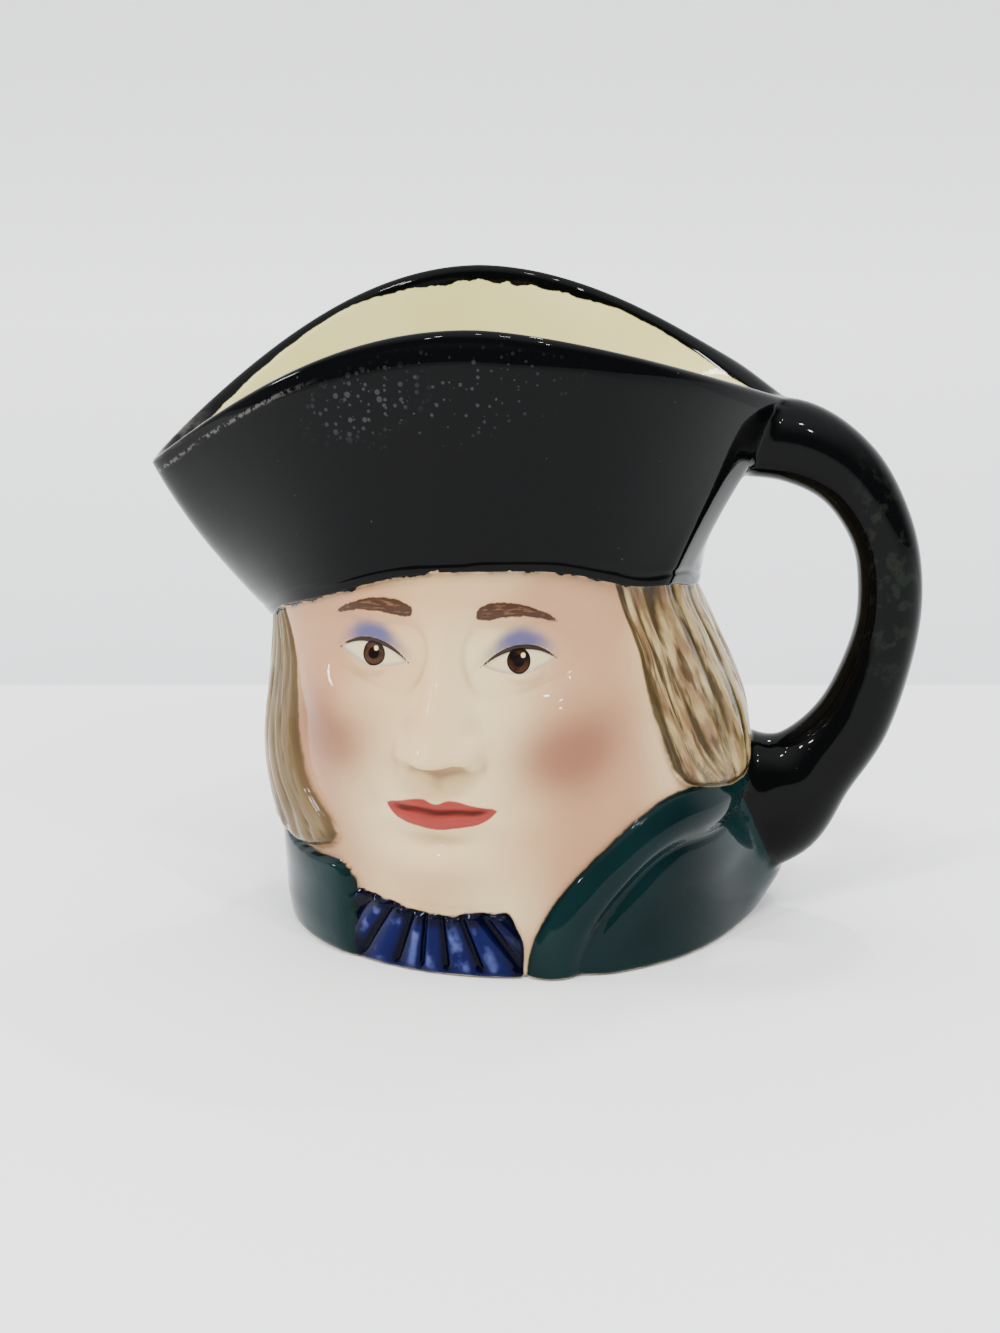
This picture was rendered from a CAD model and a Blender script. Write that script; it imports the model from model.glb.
# A glazed pottery creamer shaped as a head in a cocked hat, dressed over its CAD frame.
# Lengths are in millimetres unless a line says otherwise, and meshes are scaled to metres as
# they are made. Angles are degrees round the jug from the front (-Y) towards the handle (+X).
import math
import bpy
import numpy as np
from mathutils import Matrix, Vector
from mathutils.kdtree import KDTree


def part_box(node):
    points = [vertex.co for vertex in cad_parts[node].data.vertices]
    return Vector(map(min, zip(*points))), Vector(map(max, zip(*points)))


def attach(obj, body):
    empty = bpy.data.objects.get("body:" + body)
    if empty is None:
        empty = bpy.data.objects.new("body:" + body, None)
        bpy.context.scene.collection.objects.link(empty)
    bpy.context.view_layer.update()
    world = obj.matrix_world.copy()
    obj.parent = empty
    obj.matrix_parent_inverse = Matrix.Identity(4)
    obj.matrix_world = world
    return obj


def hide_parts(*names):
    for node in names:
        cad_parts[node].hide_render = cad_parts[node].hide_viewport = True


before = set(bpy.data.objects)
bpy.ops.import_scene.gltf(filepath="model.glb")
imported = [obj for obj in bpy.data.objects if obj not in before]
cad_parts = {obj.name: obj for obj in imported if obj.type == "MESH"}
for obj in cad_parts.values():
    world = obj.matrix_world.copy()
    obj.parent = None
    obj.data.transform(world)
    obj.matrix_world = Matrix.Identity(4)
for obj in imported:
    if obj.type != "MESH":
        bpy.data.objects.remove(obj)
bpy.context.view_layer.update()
cadLow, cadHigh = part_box("jug")
mm = 0.001
print("stage 1: the frame is in")


# small shapes that the modelling is worked out from

def clamped(x):
    return np.clip(x, 0.0, 1.0)


def pad(x, centre, halfWidth):
    return np.exp(-((x - centre) / halfWidth) ** 2)   # a soft round bump, 1 in its middle


def ramp(x, start, end):
    t = clamped((x - start) / (end - start))
    return t * t * (3.0 - 2.0 * t)


def rolled(distance, width):
    t = clamped(distance / width)
    return np.sqrt(1.0 - (1.0 - t) ** 2)              # a quarter circle, for rounded edges


def softMin(a, b, rounding):
    h = clamped(0.5 + 0.5 * (b - a) / rounding)
    return b + (a - b) * h - rounding * h * (1.0 - h)


def curveThrough(points, x):
    px, py = np.array(points, float).T
    slope = np.gradient(py, px)
    i = np.clip(np.searchsorted(px, x) - 1, 0, len(px) - 2)
    step = px[i + 1] - px[i]
    t = clamped((x - px[i]) / step)
    rise = t * t * (3.0 - 2.0 * t)
    return (py[i] + (py[i + 1] - py[i]) * rise + slope[i] * step * t * (1.0 - t) ** 2
            - slope[i + 1] * step * t * t * (1.0 - t))


def turned(angle, middle=0.0):
    return (angle - middle + 180.0) % 360.0 - 180.0


def fullTurn(angle):
    return np.where(angle < 0.0, angle + 360.0, angle)


def place(angle, radius, height):
    around = np.radians(angle)
    return np.stack([radius * np.sin(around), -radius * np.cos(around), height + 0.0 * radius], axis=-1)


def wander(x, seed, reach=1.0):
    # a gentle uneven wave, so that repeated folds and strands aren't all alike
    return reach * (0.5 * np.sin(1.7 * x + seed) + 0.3 * np.sin(3.1 * x + 2.3 * seed)
                    + 0.2 * np.sin(5.3 * x + 4.1 * seed))


def linked(name, data):
    # a new object in the scene
    made = bpy.data.objects.new(name, data)
    bpy.context.scene.collection.objects.link(made)
    return made


# the head, and the wall of the jug

head = {
    "sections": ((0, 0.0, 36.4), (14, -0.4, 36.8), (28, -1.4, 38.1), (40, -1.9, 37.4),
                 (50, -3.6, 36.1), (58, -5.3, 34.9), (68, -5.3, 34.6)),   # height, centre x, radius
    "radius": 38.0,            # turns an angle into a distance along the surface
    "turn": -18.0,             # the face looks a little towards the pouring corner
    "footRounding": 1.2,
    "wall": 3.0,
    "floor": 4.2,
    "floorFillet": 8.0,
}


def arc(angle):
    return head["radius"] * np.radians(angle)


def headRadius(angle, height):
    heights, centres, radii = np.array(head["sections"], float).T
    centre = curveThrough(list(zip(heights, centres)), height)
    radius = curveThrough(list(zip(heights, radii)), height)
    around = np.radians(angle)
    return centre * np.sin(around) + np.sqrt(radius ** 2 - (centre * np.cos(around)) ** 2)


# the hat

hat = {
    "height": round(cadHigh.z / mm, 1),
    "spoutReach": round(-cadLow.x / mm, 1),
    "cornerReach": 45.2,
    "halfWidth": 37.0,
    "peakX": -7.0,
    "spoutDrop": 26.2,
    "cornerDrop": 16.5,
    "spoutSoftness": 0.06,
    "cornerSoftness": 0.035,
    "browSide": 58.0,          # height of the lower edge at the sides and back
    "browRise": 8.9,
    "browMiddle": -6.5,
    "browSpread": 41.0,
    "templeRise": 2.7,         # the edge is held level over the temple beside the hair
    "templeAngle": 50.0,
    "templeSpread": 17.0,
    "keelDrop": 6.4,
    "keelSpread": 20.0,
    "overhangFront": 1.7,
    "overhangSide": 0.9,
    "overhangSpread": 45.0,
    "ridgeAngle": 46.0,        # the fold before the handle
    "ridgeTwist": 32.5,
    "twistSpread": 89.0,
    "ridgeRise": 1.8,
    "ridgeSpread": 12.0,
    "ridgeRounding": 2.2,
    "spoutBulge": 1.6,
    "spoutBulgeSpread": 28.0,
    "cornerHollow": 1.2,
    "hollowBeyondRidge": 29.5,
    "cornerHollowSpread": 40.0,
    "cornerWall": 1.5,
    "hemAbove": 1.7,           # a shallow scored line above the lower edge
    "hemDepth": 0.22,
    "lipRoll": 0.75,           # the lip's outer side rounds in over its last few millimetres
    "lipRollHeight": 4.2,
}


def browHeight(angle):
    overForehead = np.exp(-np.abs(turned(angle, hat["browMiddle"]) / hat["browSpread"]) ** 3)
    overTemple = pad(turned(angle, hat["templeAngle"]), 0.0, hat["templeSpread"])
    underSpout = pad(turned(angle, -90.0), 0.0, hat["keelSpread"])
    return (hat["browSide"] + hat["browRise"] * overForehead + hat["templeRise"] * overTemple
            - hat["keelDrop"] * underSpout)


def lipRadius(angle, halfWidth, spoutReach, cornerReach):
    across, along = np.cos(np.radians(angle)), np.sin(np.radians(angle))
    reach = np.where(along < 0.0, spoutReach, cornerReach)
    softness = np.where(along < 0.0, hat["spoutSoftness"], hat["cornerSoftness"])
    soft = np.hypot(across, softness * along)
    bend = (halfWidth - softness * reach) / reach ** 2
    return 2.0 * halfWidth / (soft + np.sqrt(soft ** 2 + 4.0 * bend * halfWidth * along ** 2))


def lipHeight(x):
    toSpout = clamped((hat["peakX"] - x) / (hat["peakX"] + hat["spoutReach"]))
    toCorner = clamped((x - hat["peakX"]) / (hat["cornerReach"] - hat["peakX"]))
    return hat["height"] - hat["spoutDrop"] * toSpout ** 2 - hat["cornerDrop"] * toCorner ** 1.7


def hatSurface(angle, share, inset=0.0):
    # the hat's side from its lower edge (share 0) to the lip (share 1), inset by a wall
    brow = browHeight(angle)
    edge = headRadius(angle, brow)
    if not inset:
        front = pad(turned(angle, head["turn"]), 0.0, hat["overhangSpread"])
        edge = edge + hat["overhangSide"] + (hat["overhangFront"] - hat["overhangSide"]) * front
        offRidge = np.hypot(turned(angle, hat["ridgeAngle"]), hat["ridgeRounding"]) - hat["ridgeRounding"]
        edge = edge + hat["ridgeRise"] * np.exp(-offRidge / hat["ridgeSpread"])
    fromRidge = np.clip(turned(angle, hat["ridgeAngle"]) / hat["twistSpread"], -1.0, 1.0)
    topAngle = angle + hat["ridgeTwist"] * np.cos(0.5 * np.pi * fromRidge) ** 2
    lip = lipRadius(topAngle, hat["halfWidth"], hat["spoutReach"], hat["cornerReach"])
    crest = lipHeight(lip * np.sin(np.radians(topAngle)))
    lean = np.hypot(1.0, (lip - edge) / (crest - brow))
    if inset:
        edge = edge - inset * lean
        corner = hat["cornerWall"] * inset
        lip = lipRadius(topAngle, hat["halfWidth"] - inset, hat["spoutReach"] - corner,
                        hat["cornerReach"] - corner)
    bottom = place(angle, edge, brow)
    top = place(topAngle, lip, crest - 0.5 * head["wall"])
    bend = hat["spoutBulge"] * pad(turned(angle, -90.0), 0.0, hat["spoutBulgeSpread"])
    hollowAt = hat["ridgeAngle"] + hat["hollowBeyondRidge"]
    bend = bend - hat["cornerHollow"] * pad(turned(angle, hollowAt), 0.0, hat["cornerHollowSpread"])
    push = 4.0 * share * (1.0 - share) * bend
    if not inset:
        hem = hat["hemAbove"] + wander(np.radians(angle) * 4.0, 1.0, 0.3)
        push = push - hat["hemDepth"] * pad(share * (crest - brow), hem, 0.28)
        fromLip = (1.0 - share) * (crest - brow)
        offCorners = 1.0 - pad(turned(angle, -90.0), 0.0, 16.0) - pad(turned(angle, 90.0), 0.0, 24.0)
        push = push - hat["lipRoll"] * offCorners * clamped(1.0 - fromLip / hat["lipRollHeight"]) ** 2
    return bottom + (top - bottom) * share + place(angle, push, 0.0)


# the hair

hair = {
    "rightEdge": ((20, 48.5), (28, 45.0), (36, 39.8), (45, 36.0), (52, 35.0), (60, 30.8), (67, 26.0)),
    "leftEdge": ((10, -44.2), (20, -46.5), (27.5, -57.0), (35, -62.4), (50, -65.5), (58, -73.0)),
    # angle, height
    "end": ((45, 25.5), (102, 26.2), (140, 25.0), (220, 22.0), (285, 16.5), (320, 16.5)),
    "firstParting": 105.0,
    "lastParting": 270.0,
    "backLocks": 4,
    "thickness": 1.8,
    "crown": 1.2,
    "thicknessUnderHat": 0.3,
    "tipRise": 4.2,
    "roll": 2.6,
    "sideStrands": 6,
    "backStrands": 5,
    "strandDepth": 0.62,
    "fineStrands": 2.3,        # finer strands between the main ones, as a multiple of their number
    "gather": 9.0,             # over this last length a lock's strands draw together
}


def lockPosition(angle, height):
    around = fullTurn(angle)
    rightEdge = curveThrough(hair["rightEdge"], height)
    leftEdge = 360.0 + curveThrough(hair["leftEdge"], height)
    firstParting, lastParting, backLocks = hair["firstParting"], hair["lastParting"], hair["backLocks"]
    first = (around - rightEdge) / (firstParting - rightEdge)
    back = 1.0 + backLocks * (around - firstParting) / (lastParting - firstParting)
    last = 1.0 + backLocks + (around - lastParting) / (leftEdge - lastParting)
    return np.where(around < firstParting, first, np.where(around < lastParting, back, last))


def hairDistance(angle, height):
    around = fullTurn(angle)
    fromRight = around - curveThrough(hair["rightEdge"], height)
    fromLeft = 360.0 + curveThrough(hair["leftEdge"], height) - around
    fromSide = arc(np.minimum(fromRight, fromLeft))
    share = lockPosition(angle, height) % 1.0
    end = curveThrough(hair["end"], around) + hair["tipRise"] * (2.0 * share - 1.0) ** 2
    return softMin(fromSide, height - end, 3.0)


def strandPlace(angle, height):
    # which strand of which lock a point lies on, drawn together towards the lock's end
    position = lockPosition(angle, height)
    share = position % 1.0
    near = clamped(1.0 - hairDistance(angle, height) / hair["gather"])
    share = 0.5 + (share - 0.5) * (1.0 + 0.5 * near ** 2)
    atSide = (position < 1.0) | (position > 1.0 + hair["backLocks"])
    count = np.where(atSide, hair["sideStrands"], hair["backStrands"])
    return count * share + 9.0 * np.floor(position)


def strandGroove(angle, height):
    # 1 in the grooves between strands and 0 along each strand's back
    strand = strandPlace(angle, height)
    main = strand + wander(0.9 * strand + height * 0.05, 2.0, 0.30)
    finer = hair["fineStrands"] * strand + wander(1.3 * strand + height * 0.09, 4.0, 0.40)
    deep = 0.75 + wander(height * 0.16 + 2.1 * strand, 1.0, 0.35)
    faint = 0.5 + wander(height * 0.24 + 3.7 * strand, 5.0, 0.6)
    mainGroove = (1.0 - np.abs(np.sin(np.pi * main))) ** 1.3 * deep
    fineGroove = (1.0 - np.abs(np.sin(np.pi * finer))) ** 1.6 * clamped(faint)
    return np.clip(mainGroove + 0.55 * fineGroove, 0.0, 1.2)


def hairRelief(angle, height):
    share = lockPosition(angle, height) % 1.0
    crown = 1.0 - (2.0 * share - 1.0) ** 2
    grown = ramp(hat["browSide"] - height, 0.0, 26.0)
    thickness = hair["thicknessUnderHat"] + (hair["thickness"] - hair["thicknessUnderHat"]) * grown
    thickness = thickness + hair["crown"] * crown * grown
    thickness = thickness - hair["strandDepth"] * (strandGroove(angle, height) - 0.15)
    return thickness * rolled(hairDistance(angle, height), hair["roll"])


# the coat

coat = {
    "collarTop": ((37, 28.7), (62, 28.4), (90, 31.5), (180, 28.0), (240, 22.0), (285, 16.0), (320, 16.2)),
    "step": 0.8,
    "swell": 1.3,
    "fold": 4.5,
    "rightLapel": 1.6,
    "rightLapelSwing": 16.0,
    "lapelHeight": 23.7,
    "leftLapel": -29.3,
    # the folded collar in front, from its upper edge down: distance, rise over the head
    "collarSection": ((-1.0, 0.55), (0.0, 0.8), (1.2, 1.35), (4.8, 2.5), (6.2, 2.35), (8.5, 1.25),
                      (9.1, 0.95), (10.2, 1.3), (14.0, 2.1), (18.0, 2.1), (30.0, 2.1)),
    "tailAngle": 98.0,
    "tailSpread": 19.0,
    "tailRise": 7.8,
    "tailHeight": 8.0,
    "tailHalfHeight": 9.0,
}


def rightLapel(height):
    return coat["rightLapel"] + coat["rightLapelSwing"] * (height / coat["lapelHeight"]) ** 2


def coatDistance(angle, height):
    around = fullTurn(angle)
    belowTop = curveThrough(coat["collarTop"], around) - height
    slant = np.hypot(1.0, 2.0 * coat["rightLapelSwing"] * height / coat["lapelHeight"] ** 2)
    beyondRight = arc(around) - rightLapel(height)
    beyondLeft = coat["leftLapel"] - arc(around - 360.0)
    return softMin(softMin(beyondRight / slant, beyondLeft, 4.0), belowTop, 4.0)


def coatRelief(angle, height):
    inside = coatDistance(angle, height)
    swell = coat["step"] + coat["swell"] * rolled(inside, coat["fold"]) * ramp(height, -6.0, 6.0)
    front = ramp(np.abs(turned(angle, 40.0)), 64.0, 36.0)
    folded = curveThrough(coat["collarSection"], inside)
    swell = swell + (folded - swell) * front * ramp(inside, -0.5, 0.5)
    tail = coat["tailRise"] * pad(turned(angle, coat["tailAngle"]), 0.0, coat["tailSpread"])
    return swell + tail * pad(height, coat["tailHeight"], coat["tailHalfHeight"])


# the neckcloth

neckcloth = {
    "top": 11.3,
    "dip": 1.1,                # its upper edge sags in the middle,
    "dipSpread": 9.0,
    "leftRise": 1.0,           # and climbs a little to the left lapel
    "thickness": 1.2,
    "middle": -20.8,
    "fanCentre": 22.0,         # height of the point that the pleats fan out from
    "pleatAngle": 13.5,
    "pleatDepth": 1.15,
    "hem": 1.9,
}


def clothDistance(angle, height):
    across = arc(turned(angle))
    slant = ramp(height, 5.0, 11.5) * 2.0
    between = softMin(across - coat["leftLapel"] + 0.5, coat["rightLapel"] - 0.4 - slant - across, 2.0)
    dip = neckcloth["dip"] * pad(turned(angle, neckcloth["middle"]), 0.0, neckcloth["dipSpread"])
    top = neckcloth["top"] - dip + neckcloth["leftRise"] * ramp(across, -20.0, -28.0)
    return softMin(between, top + wander(across * 0.5, 1.4, 0.25) - height, 2.0)


def pleatWave(angle, height):
    across = arc(turned(angle, neckcloth["middle"]))
    fan = np.degrees(np.arctan2(across, neckcloth["fanCentre"] - height)) / neckcloth["pleatAngle"]
    fan = fan + wander(fan, 0.7, 0.22)
    fold = np.abs(np.cos(np.pi * fan)) ** 0.8
    hemmed = ramp(height, 0.3, neckcloth["hem"])      # the folds run out in a plain hem
    return fold + (0.75 - fold) * (1.0 - hemmed)


# the face: calm, on plain proportions, the same on both sides

face = {
    "pads": (                  # across, height, half width, half height, rise
        (0.0, 63.0, 20.0, 6.0, 0.5),       # forehead
        (11.5, 59.4, 8.5, 3.0, 1.3),       # brows
        (0.0, 58.0, 4.2, 4.0, 0.7),        # between the brows
        (12.4, 52.4, 7.6, 4.8, -3.0),      # eye sockets
        (6.4, 53.0, 2.8, 4.2, -1.5),       # inner corners of the eyes
        (18.5, 44.0, 8.5, 6.2, 2.2),       # cheekbones
        (16.0, 35.0, 9.0, 8.0, 1.4),       # cheeks
        (0.0, 39.8, 4.0, 3.2, 1.8),        # tip of the nose
        (5.0, 38.6, 2.5, 2.5, 2.6),        # wings of the nose
        (0.0, 29.0, 10.5, 6.6, 2.1),       # mound of the mouth
        (2.8, 30.2, 4.2, 1.4, 1.0),        # upper lip
        (0.0, 26.8, 6.0, 1.7, 1.4),        # lower lip
        (10.4, 28.8, 2.4, 2.6, -0.7),      # corners of the mouth
        (0.0, 23.6, 6.5, 1.8, -1.0),       # hollow under the lip
        (0.0, 18.8, 7.8, 4.2, 3.2),        # chin
        (0.0, 33.4, 1.1, 2.2, -0.45),      # groove over the lip
        (2.9, 36.5, 1.15, 0.8, -1.5),      # nostrils
        (6.9, 37.6, 0.8, 2.6, -0.7),       # behind the wings of the nose
    ),
    "eyeAcross": 12.4,
    "eyeHeight": 52.1,
    "eyeHalfWidth": 6.2,
    "eyeHalfHeight": 4.2,
    "eyeRise": 3.0,
    "lidThickness": 0.5,
    "upperLid": 2.3,
    "lowerLid": 1.7,
    "creaseAbove": 1.7,
    "creaseDepth": 0.45,
    "irisRadius": 2.05,
    "pupilRadius": 0.95,
    "glintRadius": 0.42,
    "noseTop": 57.0,
    "noseBase": 36.4,
    "noseBaseSlope": 1.2,
    "noseBridgeRise": 1.8,
    "noseTipRise": 7.8,
    "noseBridgeWidth": 2.6,
    "noseTipWidth": 4.6,
    "mouthHeight": 28.5,
    "mouthHalfWidth": 9.4,
    "mouthGap": 0.55,
    "mouthDepth": 1.0,
    "jawHeight": 12.2,
    "jawClimb": 8.1,
    "jawEnd": 30.0,
    "neckDepth": 1.6,
    "neckSlope": 3.0,
}


def faceAcross(angle):
    return arc(turned(angle, head["turn"]))


def eyeOpening(side, height):
    # how far inside the almond of the open eye a point lies
    u = (side - face["eyeAcross"]) / face["eyeHalfWidth"]
    v = height - face["eyeHeight"] - 0.5 * u
    over = face["upperLid"] * (1.0 - np.abs(u) ** 2.2) - v
    under = v + face["lowerLid"] * (1.0 - u ** 2)
    return np.minimum(over, under), over, u


def faceRelief(angle, height):
    across = faceAcross(angle)
    side = np.abs(across)
    rise = 0.0 * side
    for padAcross, padHeight, halfWidth, halfHeight, padRise in face["pads"]:
        atHeight = padRise * pad(height, padHeight, halfHeight)
        for sign in ((-1, 1) if padAcross else (1,)):
            rise = rise + atHeight * pad(across, sign * padAcross, halfWidth)
    eye = 1.0 - ((side - face["eyeAcross"]) / face["eyeHalfWidth"]) ** 2
    eye = eye - ((height - face["eyeHeight"]) / face["eyeHalfHeight"]) ** 2
    rise = rise + face["eyeRise"] * clamped(eye) ** 1.35
    opening, over, u = eyeOpening(side, height)
    lid = (1.0 - ramp(opening, -0.2, 0.2)) * ramp(opening, -2.4, -0.7) * ramp(1.25 - np.abs(u), 0.0, 0.3)
    rise = rise + face["lidThickness"] * lid
    crease = pad(over, -face["creaseAbove"], 0.45) * ramp(1.1 - np.abs(u), 0.0, 0.5)
    rise = rise - face["creaseDepth"] * crease
    down = clamped((face["noseTop"] - height) / (face["noseTop"] - face["noseBase"]))
    bridge, tip = face["noseBridgeRise"], face["noseTipRise"]
    noseRise = bridge * ramp(down, -0.3, 0.2) + (tip - bridge) * down ** 1.3
    noseWidth = face["noseBridgeWidth"] + (face["noseTipWidth"] - face["noseBridgeWidth"]) * down
    base, slope = face["noseBase"], face["noseBaseSlope"]
    noseRise = noseRise * ramp(height, base - slope, base + slope)
    rise = rise + noseRise * ramp(face["noseTop"] - height, -4.0, 1.0) * pad(across, 0.0, noseWidth)
    lipsPart = pad(height, mouthLine(side), face["mouthGap"])
    rise = rise - face["mouthDepth"] * (lipsPart * ramp(face["mouthHalfWidth"] - side, 0.0, 4.0))
    jaw = face["jawHeight"] + face["jawClimb"] * np.minimum(side / face["jawEnd"], 1.0) ** 2
    neck = face["neckDepth"] * ramp(jaw - height, 0.0, face["neckSlope"])
    neck = neck * ramp(height, 0.0, face["jawHeight"])
    return rise - neck * ramp(face["jawEnd"] + face["jawHeight"] - side, 0.0, face["jawHeight"])


def mouthLine(side):
    return face["mouthHeight"] + 0.25 * pad(side, 3.0, 2.0) + 0.5 * (side / face["mouthHalfWidth"]) ** 4


def lipsDistance(across, height):
    side = np.abs(across)
    taper = clamped(1.0 - (side / (face["mouthHalfWidth"] - 0.4)) ** 2)
    upper = mouthLine(side) + 2.3 * taper ** 0.8 - 0.5 * pad(side, 0.0, 1.3)
    lower = mouthLine(side) - 2.9 * taper ** 0.7
    return np.minimum(upper - height, height - lower)


def browDistance(side, height):
    along = (side - 5.6) / 14.0
    middle = 58.9 + 2.4 * np.sin(np.pi * clamped(0.15 + 0.75 * along)) - 1.6 * along
    half = 1.55 * clamped(along * 5.0 + 0.35) ** 0.5 * clamped(1.0 - along) ** 0.55
    return np.minimum(half - np.abs(height - middle), np.minimum(side - 5.2, 19.6 - side))


def bodyRadius(angle, height):
    plain = headRadius(angle, height)
    surface = plain + faceRelief(angle, height)
    inCloth = ramp(clothDistance(angle, height), 0.0, 0.5)
    clothed = plain + neckcloth["thickness"] + neckcloth["pleatDepth"] * (pleatWave(angle, height) - 1.0)
    surface = surface + (clothed - surface) * inCloth
    coated = plain + coatRelief(angle, height)
    surface = surface + (coated - surface) * ramp(coatDistance(angle, height), 0.0, 0.5)
    surface = np.maximum(surface, plain + hairRelief(angle, height))
    foot = clamped(1.0 - height / head["footRounding"])
    return surface - head["footRounding"] * (1.0 - np.sqrt(1.0 - foot ** 2))


def hollowness(angle, height):
    # positive where the surface lies lower than its surroundings, so that thin glaze pools there
    here, around = bodyRadius(angle, height), 0.0
    for reach in (0.9, 2.2):
        aside = np.degrees(reach / head["radius"])
        for turn, lift in ((aside, 0.0), (-aside, 0.0), (0.0, reach), (0.0, -reach)):
            around = around + bodyRadius(turned(angle + turn), np.maximum(height + lift, 0.0)) / 8.0
    return around - here


# the mesh of the jug: columns round it, rows up the outside, over the lip and down the inside

fineness = {
    "faceColumns": 188,
    "sideColumns": 82,
    "backColumns": 34,         # in each lock at the back
    "leftColumns": 34,
    "rows": ((0.0, 1.2, 3), (1.2, 12.5, 26), (12.5, 23.7, 24), (23.7, 33.0, 28), (33.0, 47.0, 32),
             (47.0, 57.0, 30), (57.0, 66.8, 18)),    # from, to, count, up the face
    "hatRows": 8,              # between the closer rows of the hem and of the lip
    "lipRows": 9,
    "insideHatRows": 14,
    "insideRows": 12,
    "filletRows": 6,
    "coreTop": 1.2,
    "handleSides": 56,
    "handleRings": 96,
    "seamReach": 2.6,          # how far glaze fills the joint between handle and lip,
    "rootReach": 5.0,          # and the one at the handle's lower root,
    "seamFill": 0.13,          # and how strongly in each round
    "rootFill": 0.5,
    "fillRounds": 120,
}


def columnAngles(heights):
    lapel = np.degrees(rightLapel(heights) / head["radius"])
    collarTop = coat["collarTop"][0][1]
    hairEdge = curveThrough(hair["rightEdge"], heights)
    right = lapel + (hairEdge - lapel) * ramp(heights, collarTop - 2.0, collarTop + 2.0)
    left = curveThrough(hair["leftEdge"], heights)
    faceShare = np.linspace(0.0, 1.0, fineness["faceColumns"], endpoint=False)
    sideShare = np.linspace(0.0, 1.0, fineness["sideColumns"], endpoint=False)
    leftShare = np.linspace(0.0, 1.0, fineness["leftColumns"], endpoint=False)
    first, last = hair["firstParting"], hair["lastParting"]
    back = np.linspace(first, last, hair["backLocks"] * fineness["backColumns"], endpoint=False)
    cuts = np.cumsum([len(faceShare), len(sideShare), len(back)])
    onFace, onSide, _, onLeft = np.split(np.arange(cuts[-1] + len(leftShare)), cuts)
    return np.concatenate([
        left[onFace] + (right[onFace] - left[onFace]) * faceShare,
        right[onSide] + (first - right[onSide]) * sideShare,
        back,
        last + (360.0 + left[onLeft] - last) * leftShare,
    ])


def rowPoints(share):
    columns = (fineness["faceColumns"] + fineness["sideColumns"] + fineness["leftColumns"]
               + hair["backLocks"] * fineness["backColumns"])
    heights = np.full(columns, share * hat["browSide"])
    for _ in range(6):
        angles = columnAngles(heights)
        heights = share * browHeight(angles)
    return turned(angles), heights


def paintFields(angle, height):
    # what the glaze needs to know at each point below the hat; distances are positive inside
    across = faceAcross(angle)
    side = np.abs(across)
    opening, over, u = eyeOpening(side, height)
    eyeMiddle = np.hypot(side - face["eyeAcross"] + 0.2, height - face["eyeHeight"] - 0.35)
    iris = face["irisRadius"] - eyeMiddle
    upperLash = 0.20 + 0.26 * clamped(1.0 - u ** 2) - np.abs(over + 0.05)
    return {
        "hairEdge": hairDistance(angle, height),
        "groove": strandGroove(angle, height),
        "strandPlace": strandPlace(angle, height),
        "lockShare": lockPosition(angle, height) % 1.0,
        "coatEdge": coatDistance(angle, height),
        "clothEdge": clothDistance(angle, height),
        "pleat": pleatWave(angle, height),
        "browPaint": browDistance(side, height),
        "eyeEdge": opening,
        "irisEdge": np.minimum(iris, opening),
        "lashEdge": np.where(np.abs(u) < 1.08, upperLash, -1.0),
        "lidWash": pad(side, 12.4, 6.2) * ramp(-over, 0.1, 0.5) * ramp(over, -5.0, -1.2),
        "lipsEdge": lipsDistance(across, height),
        "blush": pad(side, 20.5, 11.0) * pad(height, 38.0 + 0.15 * (side - 20.0), 8.0),
        "hollow": hollowness(angle, height),
        "pupilEdge": face["pupilRadius"] - eyeMiddle,
        "glintEdge": face["glintRadius"] - np.hypot(across - np.sign(across) * face["eyeAcross"] - 0.55,
                                                    height - face["eyeHeight"] - 1.15),
        "flush": clamped(pad(side, 26.0, 14.0) + 0.4 * pad(height, 62.0, 5.0)),
    }


fieldNames = sorted(paintFields(np.zeros(1), np.zeros(1))) + ["hatEdge", "pastLip", "underLip", "onHandle"]


def insideRings(angles, inset, low, underHat, count):
    # below the hat the hollow eases from the hat's wall into the head's, down to a height
    top = browHeight(angles)
    extra = headRadius(angles, top) - np.hypot(underHat[:, 0], underHat[:, 1]) - inset
    for share in np.linspace(1.0, 0.0, count)[1:]:
        heights = low + (top - low) * share
        yield place(angles, headRadius(angles, heights) - (inset + extra * share ** 3), heights)


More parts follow.
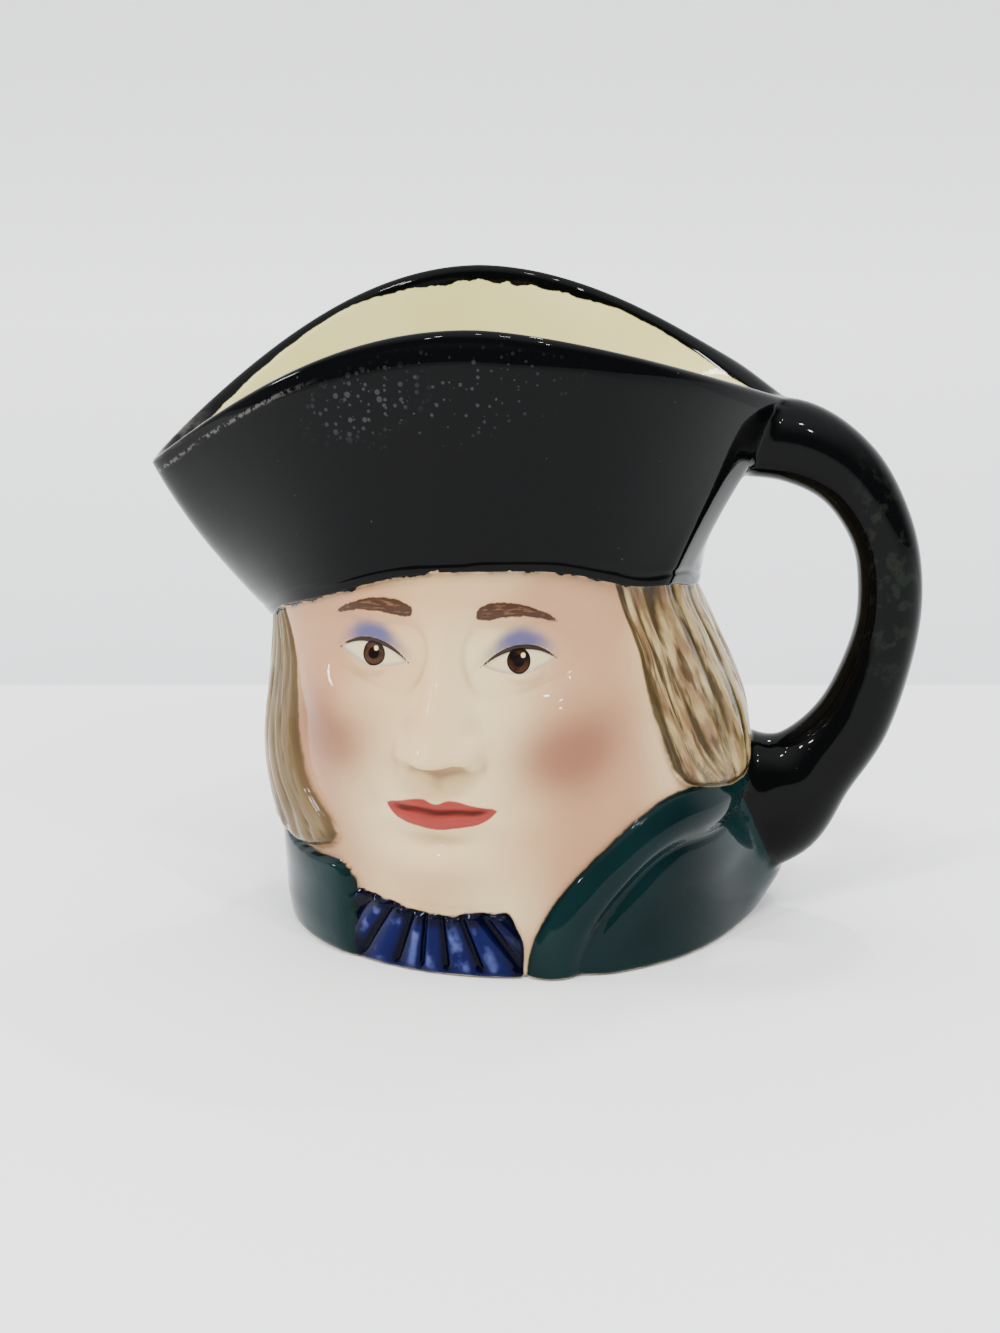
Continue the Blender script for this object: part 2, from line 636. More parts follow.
def jugRings():
    # every ring of points with its paint fields, from the foot up, over the lip and down inside
    rings, fields = [], []

    def addRow(points, **known):
        rings.append(points)
        angle = np.degrees(np.arctan2(points[:, 0], -points[:, 1]))
        values = paintFields(angle, np.minimum(points[:, 2], browHeight(angle)))
        values.update({name: np.full(len(points), -50.0) for name in ("hatEdge", "pastLip", "onHandle")})
        values["underLip"] = np.full(len(points), 50.0)
        for name, value in known.items():
            values[name] = value + np.zeros(len(points))
        fields.append(values)

    levels = np.concatenate([np.linspace(a, b, n, endpoint=False) for a, b, n in fineness["rows"]])
    for share in levels / fineness["rows"][-1][1]:
        angles, heights = rowPoints(share)
        addRow(place(angles, bodyRadius(angles, heights), heights), hatEdge=heights - browHeight(angles))
    angles, heights = rowPoints(1.0)
    addRow(place(angles, bodyRadius(angles, heights), heights - 0.25), hatEdge=-0.2)

    kept = np.arange(0, len(angles), 2)
    angles = angles[kept]
    under = hatSurface(angles, 0.0)
    crest = hatSurface(angles, 1.0)
    tall = np.linalg.norm(crest - under, axis=1)
    inner = hatSurface(angles, 1.0, head["wall"])
    addRow(under + place(angles, -0.35 + 0.0 * angles, 0.0) - [0, 0, 0.1], hatEdge=0.0)
    shares = np.concatenate([[0.0, 0.006, 0.014], np.linspace(0.025, 0.12, 9),
                             np.linspace(0.16, 0.84, fineness["hatRows"]), np.linspace(0.87, 1.0, 10)])
    for share in shares:
        row = hatSurface(angles, share)
        addRow(row, hatEdge=share * tall + 0.15, underLip=(1.0 - share) * tall)
    middle, half = 0.5 * (crest + inner), 0.5 * (crest - inner)
    up = np.array([0.0, 0.0, 0.5 * head["wall"]])
    for turn in np.linspace(0.0, np.pi, fineness["lipRows"] + 2)[1:-1]:
        addRow(middle + half * np.cos(turn) + up * np.sin(turn), hatEdge=40.0,
               pastLip=(turn - 0.5 * np.pi) * 0.5 * head["wall"], underLip=-turn)
    past = 0.25 * np.pi * head["wall"]
    for share in np.linspace(1.0, 0.0, fineness["insideHatRows"]):
        row = hatSurface(angles, share, head["wall"])
        addRow(row, hatEdge=40.0, pastLip=past + (1.0 - share) * tall, underLip=-5.0)
    low = head["floor"] + head["floorFillet"]
    for row in insideRings(angles, head["wall"], low, row, fineness["insideRows"]):
        addRow(row, hatEdge=40.0, pastLip=60.0)
    sideRadius = headRadius(angles, low) - head["wall"]
    for turn in np.linspace(0.0, 0.5 * np.pi, fineness["filletRows"] + 1)[1:]:
        heights = low - head["floorFillet"] * np.sin(turn)
        radius = sideRadius - head["floorFillet"] * (1.0 - np.cos(turn))
        addRow(place(angles, radius, heights), hatEdge=40.0, pastLip=70.0)
    wide = rings[-1]
    for share in (0.6, 0.25):
        addRow(wide * [share, share, 1.0], hatEdge=40.0, pastLip=70.0)
    return rings, fields, kept


def ringFaces(rings, kept):
    # quads between equal rings, and fans of three where a ring has fewer columns
    starts = np.concatenate([[0], np.cumsum([len(ring) for ring in rings])])
    faces = []
    for at in range(len(rings) - 1):
        low, high = len(rings[at]), len(rings[at + 1])
        columns = kept if low != high else np.arange(low)
        for i in range(high):
            here, after = columns[i], (i + 1) % high
            last = columns[after] if after else low
            a, b = starts[at], starts[at + 1]
            if last == here + 1:
                faces.append((a + here, a + last % low, b + after, b + i))
            else:
                faces.append((a + here, a + here + 1, b + i))
                faces.append((a + here + 1, b + after, b + i))
                faces.append((a + here + 1, a + last % low, b + after))
    return faces, starts


def closedMesh(name, rings, kept=()):
    faces, starts = ringFaces(rings, kept)
    points = np.concatenate(rings)
    for ring, flip in ((0, True), (len(rings) - 1, False)):
        count = len(rings[ring])
        points = np.vstack([points, rings[ring].mean(axis=0)])
        for i in range(count):
            a, b = starts[ring] + i, starts[ring] + (i + 1) % count
            faces.append((b, a, len(points) - 1) if flip else (a, b, len(points) - 1))
    mesh = bpy.data.meshes.new(name)
    mesh.from_pydata((points * mm).tolist(), [], [tuple(int(v) for v in f) for f in faces])
    mesh.update()
    return linked(name, mesh), points


jugRows, jugFields, keptColumns = jugRings()
jugBody, bodyPoints = closedMesh("jugBody", jugRows, keptColumns)
bodyFields = {}
for name in fieldNames:
    values = np.concatenate([row[name] for row in jugFields])
    bodyFields[name] = np.concatenate([values, [values[0], values[-1]]])
print("stage 2: the body has", len(bodyPoints), "points")


# the core, which trims the handle inside the wall

def coreRings():
    angles = rowPoints(1.0)[0][keptColumns][::2]
    half = 0.5 * head["wall"]
    rings = [hatSurface(angles, share, half) for share in (fineness["coreTop"], 1.0, 0.75, 0.5, 0.25, 0.0)]
    flatTop = rings[0].copy()
    flatTop[:, 2] = rings[0][:, 2].max() + 5.0      # so that the cap can't dip into the handle's root
    below = insideRings(angles, half, head["floor"], rings[-1], 12)
    return [flatTop, *rings, *below][::-1]          # from the bottom up, so that the mesh faces out


core = closedMesh("core", coreRings())[0]


# the handle: Geometry Nodes sweep an oval section down its path

handle = {
    "reach": round(cadHigh.x / mm, 1),
    "thickness": 10.8,
    "width": 11.4,
    "top": 87.3,
    "foot": 7.8,
    # shares: down from the top root, in from the loop's back, then thickness and width
    "course": ((-0.010, 1.590, 1.15, 1.05), (0.000, 0.965, 1.28, 1.08), (0.090, 0.440, 1.13, 1.03),
               (0.242, 0.106, 1.00, 1.00), (0.400, 0.000, 1.00, 1.00), (0.565, 0.053, 1.02, 1.00),
               (0.773, 0.319, 1.18, 1.02), (0.910, 0.705, 1.44, 1.06), (0.986, 1.069, 2.20, 1.20),
               (1.029, 1.570, 2.51, 1.40)),
}


def handleStations():
    # x, height, half thickness, half width
    half, wide = 0.5 * handle["thickness"], 0.5 * handle["width"]
    course = handle["course"]
    back = handle["reach"] - half
    top, foot = handle["top"] - course[1][2] * half, handle["foot"] + course[-2][2] * half
    return [(back - inward * (back - hat["cornerReach"]), top - down * (top - foot),
             thick * half, width * wide) for down, inward, thick, width in course]


def addNode(tree, kind, settings=(), **inputs):
    # inputs go by name with the spaces left out, or as i0, i1 by number; a socket is linked, the rest set
    made = tree.nodes.new(kind)
    for name, value in dict(settings).items():
        setattr(made, name, value)
    named = {socket.name.replace(" ", ""): socket for socket in list(made.inputs)[::-1] if socket.enabled}
    for key, value in inputs.items():
        socket = made.inputs[int(key[1:])] if key[1:].isdigit() else named[key]
        value = getattr(value, "socket", value)
        if isinstance(value, bpy.types.NodeSocket):
            tree.links.new(value, socket)
        else:
            socket.default_value = value
    return made


def handleTree():
    tree = bpy.data.node_groups.new("sweptHandle", "GeometryNodeTree")
    for name, kind, flow in (("Path", "Geometry", "INPUT"), ("Rings", "Int", "INPUT"),
                             ("Sides", "Int", "INPUT"), ("Glaze", "Material", "INPUT"),
                             ("Handle", "Geometry", "OUTPUT")):
        tree.interface.new_socket(name, in_out=flow, socket_type="NodeSocket" + kind)
    given = tree.nodes.new("NodeGroupInput").outputs

    def geometry(kind, settings=(), **inputs):
        return addNode(tree, "GeometryNode" + kind, settings, **inputs).outputs[0]

    def kept(name):
        return geometry("InputNamedAttribute", {"data_type": "FLOAT"}, Name=name)

    path = geometry("MeshToCurve", Mesh=given["Path"])
    path = geometry("CurveSplineType", {"spline_type": "CATMULL_ROM"}, Curve=path)
    path = geometry("ResampleCurve", {"keep_last_segment": True}, Curve=path, Count=given["Rings"])
    section = geometry("CurvePrimitiveCircle", {"mode": "RADIUS"}, Resolution=given["Sides"], Radius=1.0)
    swept = geometry("CurveToMesh", Curve=path, ProfileCurve=section, Scale=kept("halfThickness"),
                     FillCaps=True)
    # the loop lies in the plane y = 0, so its width is set by stretching y
    at = addNode(tree, "ShaderNodeSeparateXYZ", Vector=geometry("InputPosition")).outputs
    wider = addNode(tree, "ShaderNodeMath", {"operation": "MULTIPLY"}, i0=at["Y"], i1=kept("widthShare"))
    moved = addNode(tree, "ShaderNodeCombineXYZ", X=at["X"], Y=wider.outputs[0], Z=at["Z"])
    shape = geometry("SetPosition", Geometry=swept, Position=moved.outputs[0])
    shape = geometry("RealizeInstances", Geometry=shape)
    shape = geometry("SetMaterial", Geometry=shape, Material=given["Glaze"])
    addNode(tree, "NodeGroupOutput", Handle=shape)
    return tree


def makeHandle(material):
    stations = np.array(handleStations())
    mesh = bpy.data.meshes.new("handlePath")
    points = [(x * mm, 0.0, z * mm) for x, z, _, _ in stations]
    mesh.from_pydata(points, [(i, i + 1) for i in range(len(points) - 1)], [])
    for name, values in (("halfThickness", stations[:, 2] * mm),
                         ("widthShare", stations[:, 3] / stations[:, 2])):
        mesh.attributes.new(name, "FLOAT", "POINT").data.foreach_set("value", values)
    path = linked("handlePath", mesh)
    tree = handleTree()
    modifier = path.modifiers.new("sweep", "NODES")
    modifier.node_group = tree
    wanted = {"Rings": fineness["handleRings"], "Sides": fineness["handleSides"], "Glaze": material}
    for item in tree.interface.items_tree:
        if item.item_type == "SOCKET" and item.name in wanted:
            modifier[item.identifier] = wanted[item.name]
    return path


def evaluated(source):
    graph = bpy.context.evaluated_depsgraph_get()
    return bpy.data.meshes.new_from_object(source.evaluated_get(graph), depsgraph=graph)


def joined(target, tool, operation):
    modifier = target.modifiers.new("join", "BOOLEAN")
    modifier.operation = operation
    modifier.solver = "EXACT"
    modifier.object = tool
    mesh = evaluated(target)
    target.modifiers.clear()
    return mesh


def dropObject(which):
    bpy.data.objects.remove(which, do_unlink=True)


firedGlaze = bpy.data.materials.new("firedGlaze")
firedGlaze.use_nodes = True
handlePath = makeHandle(firedGlaze)
handleMesh = evaluated(handlePath)
dropObject(handlePath)
handleBlank = linked("handleBlank", handleMesh)
handleBlank.data = joined(handleBlank, core, "DIFFERENCE")
handlePoints = np.array([vert.co for vert in handleBlank.data.vertices]) / mm
jugMesh = joined(jugBody, handleBlank, "UNION")
for used in (jugBody, handleBlank, core):
    dropObject(used)
print("stage 3: body and handle are one, with", len(jugMesh.vertices), "points")


# glaze fills the joint, then every point learns its paint fields

def nearest(among, points):
    # which of some points lies nearest to each point, and how far off
    tree = KDTree(len(among))
    for i, point in enumerate(among):
        tree.insert(point, i)
    tree.balance()
    found = [tree.find(point) for point in points]
    return np.array([it[1] for it in found]), np.array([it[2] for it in found])


def valuesOf(parts, name, width, kind=float):
    flat = np.empty(len(parts) * width, kind)
    parts.foreach_get(name, flat)
    return flat.reshape(-1, width)


points = valuesOf(jugMesh.vertices, "co", 3) / mm
bodyIndex, toBody = nearest(bodyPoints, points)
toHandle = nearest(handlePoints, points)[1]
onHandle = (toHandle < 1e-3) & (toBody > 1e-3)
onSeam = (toHandle >= 1e-3) & (toBody >= 1e-3)
toSeam = nearest(points[onSeam], points)[1]
print("stage 4: the joint has", int(onSeam.sum()), "points")

edges = valuesOf(jugMesh.edges, "vertices", 2, int)
atRoot = points[:, 2] < hat["browSide"]
reach = np.where(atRoot, fineness["rootReach"], fineness["seamReach"])
weight = np.where(atRoot, fineness["rootFill"], fineness["seamFill"])
weight = weight * (1.0 - clamped(toSeam / reach)) ** 0.5
busy = weight > 0.0
near = edges[busy[edges].any(axis=1)]
ends, others = np.concatenate([near[:, 0], near[:, 1]]), np.concatenate([near[:, 1], near[:, 0]])
count = np.maximum(np.bincount(ends, minlength=len(points)), 1)[busy]
outward = valuesOf(jugMesh.vertices, "normal", 3)[busy]
for _ in range(fineness["fillRounds"]):
    mean = np.stack([np.bincount(ends, points[others, axis], minlength=len(points))[busy] / count
                     for axis in range(3)], axis=-1)
    move = mean - points[busy]
    filling = clamped((move * outward).sum(axis=1) / (np.linalg.norm(move, axis=1) + 1e-9))
    points[busy] += move * (weight[busy] * filling)[:, None]
jugMesh.vertices.foreach_set("co", (points * mm).ravel())
jugMesh.update()

notOnHandle = ("pastLip", "hairEdge", "clothEdge", "browPaint", "eyeEdge", "irisEdge", "lashEdge",
               "lipsEdge", "hollow")
for name in fieldNames:
    values = bodyFields[name][bodyIndex]
    if name == "onHandle":
        values = np.where(onHandle, 1.0, -1.0) * np.maximum(toSeam, 0.01)
    elif name in notOnHandle:
        values = np.where(onHandle, -50.0, values)
    jugMesh.attributes.new(name, "FLOAT", "POINT").data.foreach_set("value", values)
jugMesh.polygons.foreach_set("use_smooth", np.ones(len(jugMesh.polygons), bool))
jug = linked("glazedJug", jugMesh)
jugMesh.materials.clear()
jugMesh.materials.append(firedGlaze)
print("stage 5: the jug has", sum(len(p.vertices) - 2 for p in jugMesh.polygons), "triangles")


# the glaze; its colours are linear

glaze = {
    "black": (0.0016, 0.0017, 0.0019),
    "cream": (0.80, 0.74, 0.36),
    "creamDeep": (0.74, 0.68, 0.30),
    "flesh": (0.62, 0.40, 0.20),
    "palest": (0.72, 0.56, 0.30),
    "flush": (0.40, 0.195, 0.105),
    "blush": (0.225, 0.088, 0.054),
    "brow": (0.040, 0.018, 0.012),
    "browLight": (0.12, 0.065, 0.035),
    "lid": (0.050, 0.062, 0.17),
    "eyeWhite": (0.62, 0.52, 0.30),
    "iris": (0.006, 0.004, 0.004),
    "irisRing": (0.050, 0.022, 0.012),
    "pooled": (0.26, 0.135, 0.070),
    "lips": (0.26, 0.018, 0.022),
    "lipsDeep": (0.10, 0.008, 0.010),
    "hairLight": (0.36, 0.265, 0.115),
    "hairPale": (0.47, 0.36, 0.19),
    "hairDark": (0.034, 0.023, 0.009),
    "hairWash": (0.165, 0.085, 0.042),
    "hairShade": (0.105, 0.068, 0.034),
    "coatDeep": (0.0014, 0.0070, 0.0075),
    "coat": (0.0040, 0.0165, 0.0175),
    "coatRub": (0.085, 0.080, 0.022),
    "clothDeep": (0.0006, 0.0008, 0.0060),
    "cloth": (0.0022, 0.0038, 0.0480),
    "clothPale": (0.070, 0.090, 0.260),
    "blister": (0.034, 0.034, 0.041),
    "worn": (0.120, 0.115, 0.105),
    "halo": (0.16, 0.17, 0.12),
    "mottle": (0.010, 0.014, 0.009),
    "bisque": (0.62, 0.56, 0.44),
    "rootLine": (38.4, 20.2, 23.2),    # a point on the black's end at the handle's root, and its slant
    "blackInside": -0.9,       # the black ends this far down inside the lip,
    "blackInsideBack": 2.2,    # this much further at the middle of the back
    "blackInsideCorner": 0.9,  # and this much further on the way from there to the handle
    "roughness": 0.045,
    "shine": 0.21,
}


class Wire:
    # a node's output that can stand in plain sums
    def __init__(self, socket):
        self.socket = socket

    def maths(self, operation, other=0.0, flipped=False):
        first, second = (other, self) if flipped else (self, other)
        made = addNode(self.socket.id_data, "ShaderNodeMath", {"operation": operation}, i0=first, i1=second)
        return Wire(made.outputs[0])

    def __add__(self, other):
        return self.maths("ADD", other)

    def __sub__(self, other):
        return self.maths("SUBTRACT", other)

    def __rsub__(self, other):
        return self.maths("SUBTRACT", other, flipped=True)

    def __mul__(self, other):
        return self.maths("MULTIPLY", other)


def paintGlaze(material):
    tree = material.node_tree
    tree.nodes.clear()

    def made(kind, settings=(), **inputs):
        return addNode(tree, "ShaderNode" + kind, settings, **inputs).outputs

    here = made("TexCoord")["Object"]
    across, along, up = [Wire(axis) for axis in made("SeparateXYZ", Vector=here)]

    def field(name):
        return Wire(made("Attribute", {"attribute_type": "GEOMETRY", "attribute_name": name})["Fac"])

    def moved(at, by):
        return made("VectorMath", {"operation": "ADD"}, i0=at, i1=(by, by, by))[0]

    def noise(scale, detail=2.0, at=here, offset=0.0):
        return Wire(made("TexNoise", Vector=moved(at, offset), Scale=scale, Detail=detail)["Fac"])

    def between(value, start, end, low=0.0, high=1.0):
        return Wire(made("MapRange", {"interpolation_type": "SMOOTHSTEP"}, Value=value,
                         FromMin=start, FromMax=end, ToMin=low, ToMax=high)[0])

    def layered(colour, *layers):
        # each layer is its share and a colour: another node's, or one of the glaze's own by name
        for share, over in layers:
            pair = [glaze[it] + (1.0,) if isinstance(it, str) else it for it in (colour, over)]
            colour = made("Mix", {"data_type": "RGBA"}, Factor=share, i6=pair[0], i7=pair[1])[2]
        return colour

    def wobbled(distance, amount, grain):
        return (grain - 0.5) * amount + distance

    def painted(name, amount, grain, start, end, most=1.0):
        # paint that follows one of the fields, its edge roughened by a grain
        return between(wobbled(field(name), amount, grain), start, end, 0.0, most)

    def oval(x, z, halfWidth, halfHeight, lean=0.0):
        # 1 in the middle of an oval patch on the front, 0 outside it; places in millimetres
        aside = across - x * mm
        dx = aside * (1.0 / (halfWidth * mm))
        dz = (up - z * mm - aside * lean) * (1.0 / (halfHeight * mm))
        return between((dx * dx + dz * dz).maths("SQRT"), 1.0, 0.35) * between(along, 0.0, -0.01)

    def dots(cell, size, share, seed, uneven=1.0):
        # round dots, one to a cell where they occur at all
        cells = made("TexVoronoi", Vector=moved(here, seed), Scale=1.0 / (cell * mm), Randomness=uneven)
        pick = made("SeparateColor", Color=cells["Color"])
        inside = between(Wire(pick[1]) * (size / cell) - cells["Distance"], -0.04, 0.06)
        return inside * between(pick[0], 1.0 - share, 1.0 - share + 0.02)

    coarse, medium, fine = noise(70), noise(320, 3), noise(1300)
    mediumToo, slow = noise(260, offset=3.0), noise(28, offset=7.0)

    # flesh, with airbrushed pink; the thin glaze is warmer where it pools in hollows
    colour = layered(
        "flesh", (between(slow, 0.35, 0.65), "palest"),
        (painted("flush", 0.3, coarse, 0.1, 1.0, 0.85), "flush"),
        (painted("blush", 0.15, coarse, 0.05, 1.05, 0.85), "blush"),
        (painted("hollow", 0.08, medium, 0.12, 0.85, 0.70), "pooled"),
        (painted("lidWash", 0.3, medium, 0.10, 0.95, 0.92), "lid"))

    # eyes and lips
    eyeEdge, irisEdge = field("eyeEdge"), field("irisEdge")
    ring = between(irisEdge, 0.15, 0.40) * between(field("pupilEdge"), 0.10, -0.10)
    glint = between(field("glintEdge"), -0.06, 0.08) * between(eyeEdge, 0.0, 0.1)
    lipTint = layered("lips", (between(field("hollow"), 0.05, 0.5), "lipsDeep"))
    eyeTint = layered("eyeWhite", (between(eyeEdge, 0.9, 0.0, 0.0, 0.45), "lid"))
    colour = layered(
        colour, (between(eyeEdge, -0.05, 0.12), eyeTint),
        (between(irisEdge, -0.05, 0.12), "iris"),
        (ring * between(medium, 0.30, 0.60), "irisRing"),
        (between(field("lashEdge"), -0.05, 0.12, 0.0, 0.95), "iris"), (glint, "palest"),
        (painted("lipsEdge", 0.45, medium, -0.05, 0.25, 0.95), lipTint))

    # brows, stroke by stroke
    browInside = wobbled(wobbled(field("browPaint"), 0.6, medium), 0.5, fine)
    hairs = noise(1.0, at=made("CombineXYZ", X=across * 420.0, Z=up * 1900.0)[0])
    browTint = layered("brow", (between(hairs, 0.48, 0.66), "browLight"),
                       (between(browInside, 0.75, 0.25), "brow"))
    colour = layered(colour, (between(browInside, -0.1, 0.2, 0.0, 0.97), browTint))

    # hair, with brown pooled in its grooves and washed over the front of the side lock, and short
    # olive strokes along the strands, more of them half way down
    hairEdge, strand = field("hairEdge"), field("strandPlace")
    inHair = painted("hairEdge", 0.5, medium, -0.1, 0.3)
    streaks = noise(1.9, 3, at=made("CombineXYZ", X=strand, Z=up * 75.0)[0])
    wash = between(field("lockShare"), 0.62, 0.30) * between(streaks, 0.35, 0.6)
    wash = wash * between(along, 0.002, -0.01)
    strokes = noise(1.6, at=made("CombineXYZ", X=strand * 2.6, Z=up * 85.0)[0], offset=5.0)
    strokes = between(strokes, 0.53, 0.63) * between(up, 0.061, 0.052) * between(up, 0.026, 0.036)
    leftSide = between(across, -0.028, -0.031) * between(hairEdge, 14.0, 6.0)
    leftSide = leftSide * between(along, 0.0, -0.004)
    colour = layered(colour, (inHair, layered(
        "hairLight", (between(coarse, 0.35, 0.7), "hairPale"), (wash * 0.85, "hairWash"),
        (painted("groove", 1.1, streaks, 0.12, 0.75) * 0.92, "hairDark"),
        (strokes * 0.75, "hairDark"),
        (painted("hairEdge", 0.7, medium, 1.7, 0.6, 0.9), "hairDark"),
        (leftSide * 0.80, "hairShade"))))

    # neckcloth
    ridges = painted("pleat", 0.5, mediumToo, 0.74, 1.05)
    ridges = ridges * between(noise(210, 3, offset=11.0), 0.46, 0.60)
    colour = layered(colour, (painted("clothEdge", 0.5, medium, -0.15, 0.2), layered(
        "clothDeep", (painted("pleat", 0.35, medium, 0.30, 0.85), "cloth"),
        (ridges * 0.85, "clothPale"),
        (painted("clothEdge", 1.2, mediumToo, 3.0, 1.0, 0.9), "clothDeep"))))

    # coat
    rubbed = oval(15.0, 5.5, 11.0, 7.0) * painted("coatEdge", 1.2, mediumToo, 1.2, 0.4)
    colour = layered(colour, (painted("coatEdge", 0.4, medium, -0.15, 0.2) * (1.0 - inHair), layered(
        "coatDeep", (between(slow, 0.35, 0.65), "coat"),
        (painted("coatEdge", 0.8, medium, 0.9, 0.1, 0.7), "coatDeep"),
        (rubbed * between(medium, 0.35, 0.6) * 0.8, "coatRub"))))

    # the clay's pale foot
    bare = between(wobbled(up * 1000.0, 0.5, medium), 0.5, 0.25)
    colour = layered(colour, (bare, "bisque"))

    # black hat and handle: a grey-green halo and small runs where it meets the flesh;
    # the coat's green runs up on to the handle's root, so the black ends on a slant there
    rootX, rootZ, slant = glaze["rootLine"]
    slant = math.radians(slant)
    overRoot = (across - rootX * mm) * (math.cos(slant) / mm) + (up - rootZ * mm) * (math.sin(slant) / mm)
    onHandle = (field("onHandle") + 0.5).maths("MINIMUM", overRoot)
    hatBlack = wobbled(wobbled(field("hatEdge") + 0.25, 2.6, mediumToo), 0.8, fine)
    blackEdge = hatBlack.maths("MAXIMUM", wobbled(onHandle, 0.6, medium))
    halo = between(blackEdge, -0.75, -0.1) * between(blackEdge, 0.1, -0.1) * between(medium, 0.35, 0.6)
    blistered = oval(-23.8, 92.4, 12.0, 7.0, 0.30) * dots(1.15, 0.52, 0.95, 0.1, 0.5)
    blistered = blistered.maths("MAXIMUM", oval(-13.0, 94.0, 26.0, 9.0, 0.14) * dots(0.9, 0.36, 0.45, 0.4))
    below = wobbled(field("underLip"), 0.7, medium)
    wornLine = between(below, 1.3, 1.8) * between(below, 2.5, 2.0) * between(across, -0.030, -0.042)
    wornLip = between(field("underLip"), 0.6, -1.0) * between(across, -0.050, -0.057)
    worn = (wornLine * between(fine, 0.42, 0.56)).maths("MAXIMUM", wornLip * between(medium, 0.35, 0.65))
    mottled = oval(62.0, 62.0, 10.0, 30.0) * between(noise(420, 4, offset=5.0), 0.52, 0.62)
    colour = layered(
        colour, (halo * between(field("hatEdge"), -2.5, -1.5) * 0.75, "halo"),
        (between(blackEdge, -0.1, 0.1), layered(
            "black", (mottled, "mottle"), (blistered * 0.75, "blister"),
            (dots(3.0, 0.16, 0.5, 0.7) * 0.45, "worn"), (worn * 0.55, "worn"))))

    # cream inside, below the black that runs over the lip
    atBack = between(along, 0.020, 0.034) * between((across + 0.006).maths("ABSOLUTE"), 0.028, 0.006)
    past = wobbled(wobbled(field("pastLip"), 0.5, mediumToo), 0.15, fine)
    past = past - atBack * wobbled(1.0, 1.2, noise(420, offset=9.0)) * glaze["blackInsideBack"]
    past = past - between(along, 0.0, 0.010) * between(across, 0.004, 0.014) * glaze["blackInsideCorner"]
    lip = 0.25 * math.pi * head["wall"] + glaze["blackInside"]
    colour = layered(colour, (between(past, lip - 0.15, lip + 0.15), layered(
        "cream", (between(coarse, 0.3, 0.7), "creamDeep"), (dots(5.0, 0.30, 0.30, 0.2) * 0.8, "hairDark"))))

    rise = blistered * 0.12 + noise(95, 1) * 0.55 + noise(420) * 0.035
    ripple = made("Bump", Strength=0.35, Distance=0.0004, Height=rise)[0]
    rough = between(blistered, 0.0, 1.0, glaze["roughness"], 0.35).maths("MAXIMUM", bare * 0.6)
    shader = made("BsdfPrincipled", BaseColor=colour, Roughness=rough, IOR=1.28,
                  SpecularIORLevel=glaze["shine"], Normal=ripple)[0]
    made("OutputMaterial", Surface=shader)


paintGlaze(firedGlaze)
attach(jug, "root")
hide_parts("jug")
print("stage 6: the glaze is on")


# the floor, with a greyer sweep beyond its far edge

stage = {
    "farEdge": 142.0,
    "sweepEnd": 620.0,
    "floor": (0.91, 0.91, 0.91),
    "sweep": (0.68, 0.69, 0.71),
    "sweepFar": (0.94, 0.94, 0.95),
}


def makeFloor():
    mesh = bpy.data.meshes.new("floor")
    reach = 6.0
    corners = [(-reach, -reach, 0), (reach, -reach, 0), (reach, reach, 0), (-reach, reach, 0)]
    mesh.from_pydata(corners, [], [(0, 1, 2, 3)])
    floor = linked("floor", mesh)
    material = bpy.data.materials.new("paleFloor")
    material.use_nodes = True
    tree = material.node_tree
    shader = tree.nodes["Principled BSDF"]
    here = addNode(tree, "ShaderNodeTexCoord").outputs["Object"]
    away = addNode(tree, "ShaderNodeSeparateXYZ", Vector=here).outputs["Y"]

    def changing(start, end, near, far):
        share = addNode(tree, "ShaderNodeMapRange", Value=away, FromMin=start * mm, FromMax=end * mm)
        return addNode(tree, "ShaderNodeMix", {"data_type": "RGBA"}, Factor=share.outputs[0],
                       i6=near, i7=far).outputs[2]

    edge = stage["farEdge"]
    sweep = changing(edge, stage["sweepEnd"], stage["sweep"] + (1.0,), stage["sweepFar"] + (1.0,))
    colour = changing(edge - 1.0, edge + 1.0, stage["floor"] + (1.0,), sweep)
    tree.links.new(colour, shader.inputs["Base Color"])
    shader.inputs["Roughness"].default_value = 0.6
    mesh.materials.append(material)


makeFloor()


# camera and light, in metres

view = {
    "aim": (-0.0027, 0.0, 0.042),
    "distance": 0.550,
    "height": 0.189,
    "lensPixels": 3400.0,      # focal length, counted in the photograph's pixels
    "photoHeight": 1333.0,
}


def makeCamera():
    camera = linked("camera", bpy.data.cameras.new("camera"))
    camera.data.sensor_fit = "VERTICAL"
    camera.data.sensor_height = 36.0
    camera.data.lens = view["lensPixels"] / view["photoHeight"] * 36.0
    aim = Vector(view["aim"])
    camera.location = Vector((aim.x, -view["distance"], view["height"]))
    camera.rotation_euler = (aim - camera.location).to_track_quat("-Z", "Y").to_euler()
    camera.data.clip_start = 0.01
    bpy.context.scene.camera = camera


lighting = {
    "overhead": 2.6,           # brightness of the room straight above,
    "behind": 2.2,             # beyond the jug
    "front": 0.22,             # and behind the camera
    "tint": (0.97, 0.985, 1.0),
}

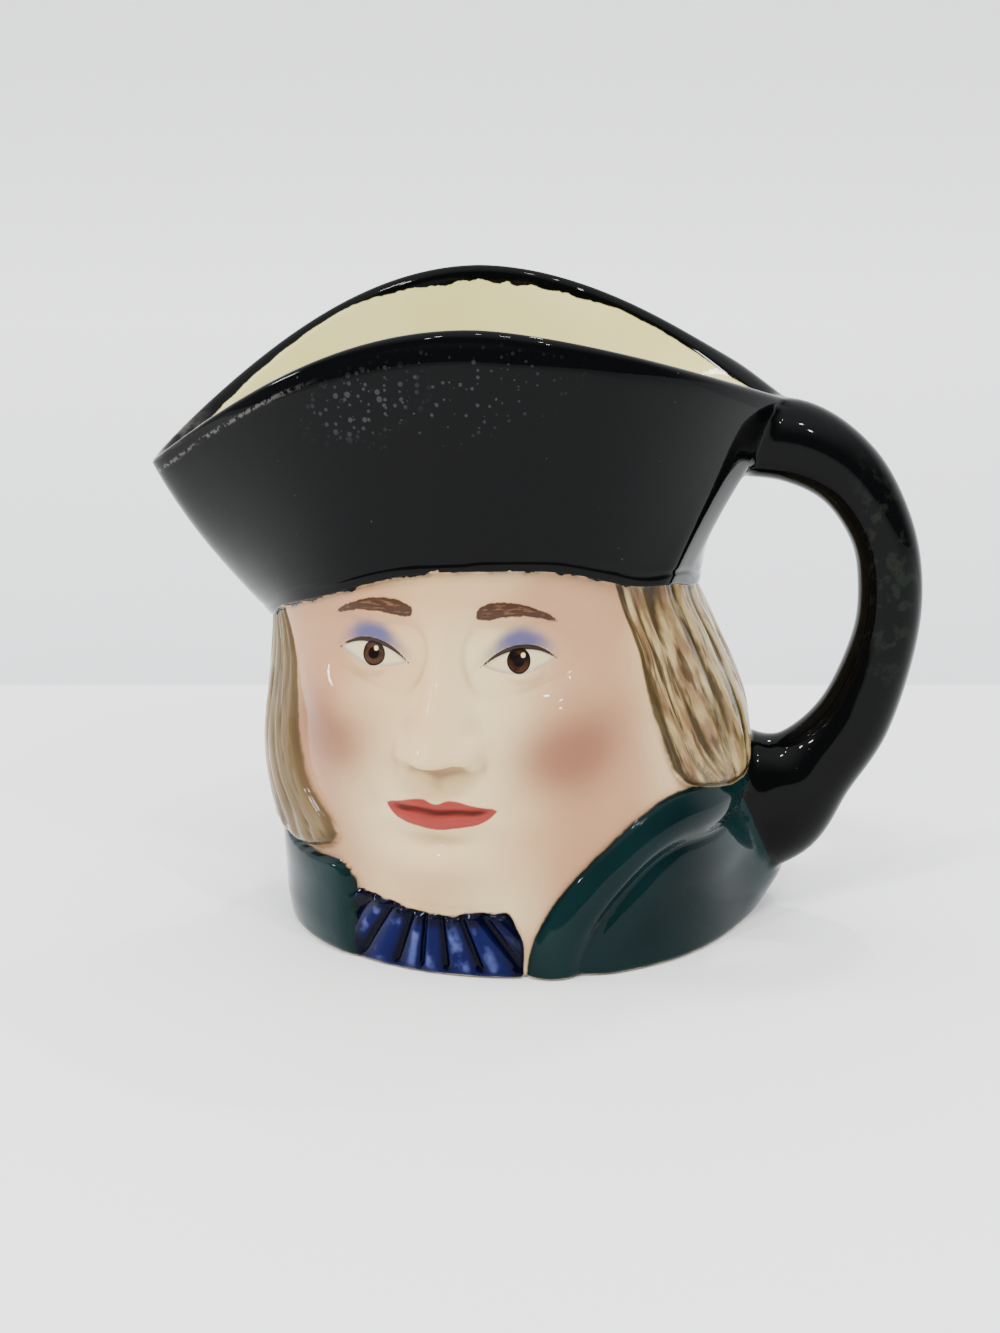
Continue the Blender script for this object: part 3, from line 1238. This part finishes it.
lamps = (
    # name, place, aimed at, width, height, watts: small bright panels for the glints
    ("leftPanel", (-0.55, -0.75, 0.80), (0, 0, 0.06), 0.050, 0.050, 3.0),
    ("leftPanelLow", (-0.62, -0.80, 0.62), (0, 0, 0.06), 0.036, 0.056, 2.2),
    ("topPanel", (0.05, -0.60, 1.05), (0, 0, 0.06), 0.080, 0.036, 3.2),
    ("topPanelSide", (-0.16, -0.55, 1.08), (0, 0, 0.06), 0.042, 0.036, 2.0),
    ("rightPanel", (0.50, -0.85, 0.75), (0, 0, 0.06), 0.048, 0.048, 2.8),
    ("rightPanelHigh", (0.42, -0.70, 0.92), (0, 0, 0.06), 0.046, 0.034, 2.2),
    ("farPanel", (0.25, 0.45, 1.00), (0, 0, 0.06), 0.080, 0.030, 3.0),
    ("windowPanel", (-1.10, 0.05, 0.42), (0, 0, 0.08), 0.200, 0.060, 6.0),
)


def makeLamps():
    for name, at, aim, width, height, watts in lamps:
        lamp = linked(name, bpy.data.lights.new(name, "AREA"))
        lamp.data.shape = "RECTANGLE"
        lamp.data.size, lamp.data.size_y = width, height
        lamp.data.energy = watts
        lamp.location = at
        lamp.rotation_euler = (Vector(aim) - Vector(at)).to_track_quat("-Z", "Y").to_euler()
    world = bpy.data.worlds.new("room")
    bpy.context.scene.world = world
    world.use_nodes = True
    tree = world.node_tree
    background = tree.nodes["Background"]
    toward = addNode(tree, "ShaderNodeTexCoord").outputs["Generated"]
    toward = addNode(tree, "ShaderNodeSeparateXYZ", Vector=toward).outputs

    def rising(axis, start, end, most):
        made = addNode(tree, "ShaderNodeMapRange", {"interpolation_type": "SMOOTHSTEP"}, Value=toward[axis],
                       FromMin=start, FromMax=end, ToMin=0.0, ToMax=most - lighting["front"])
        return Wire(made.outputs[0])

    brighter = rising("Z", 0.25, 0.85, lighting["overhead"])
    brighter = brighter.maths("MAXIMUM", rising("Y", -0.15, 0.55, lighting["behind"]))
    background.inputs["Color"].default_value = lighting["tint"] + (1.0,)
    tree.links.new((brighter + lighting["front"]).socket, background.inputs["Strength"])


makeCamera()
makeLamps()
print("stage 7: the room is lit")
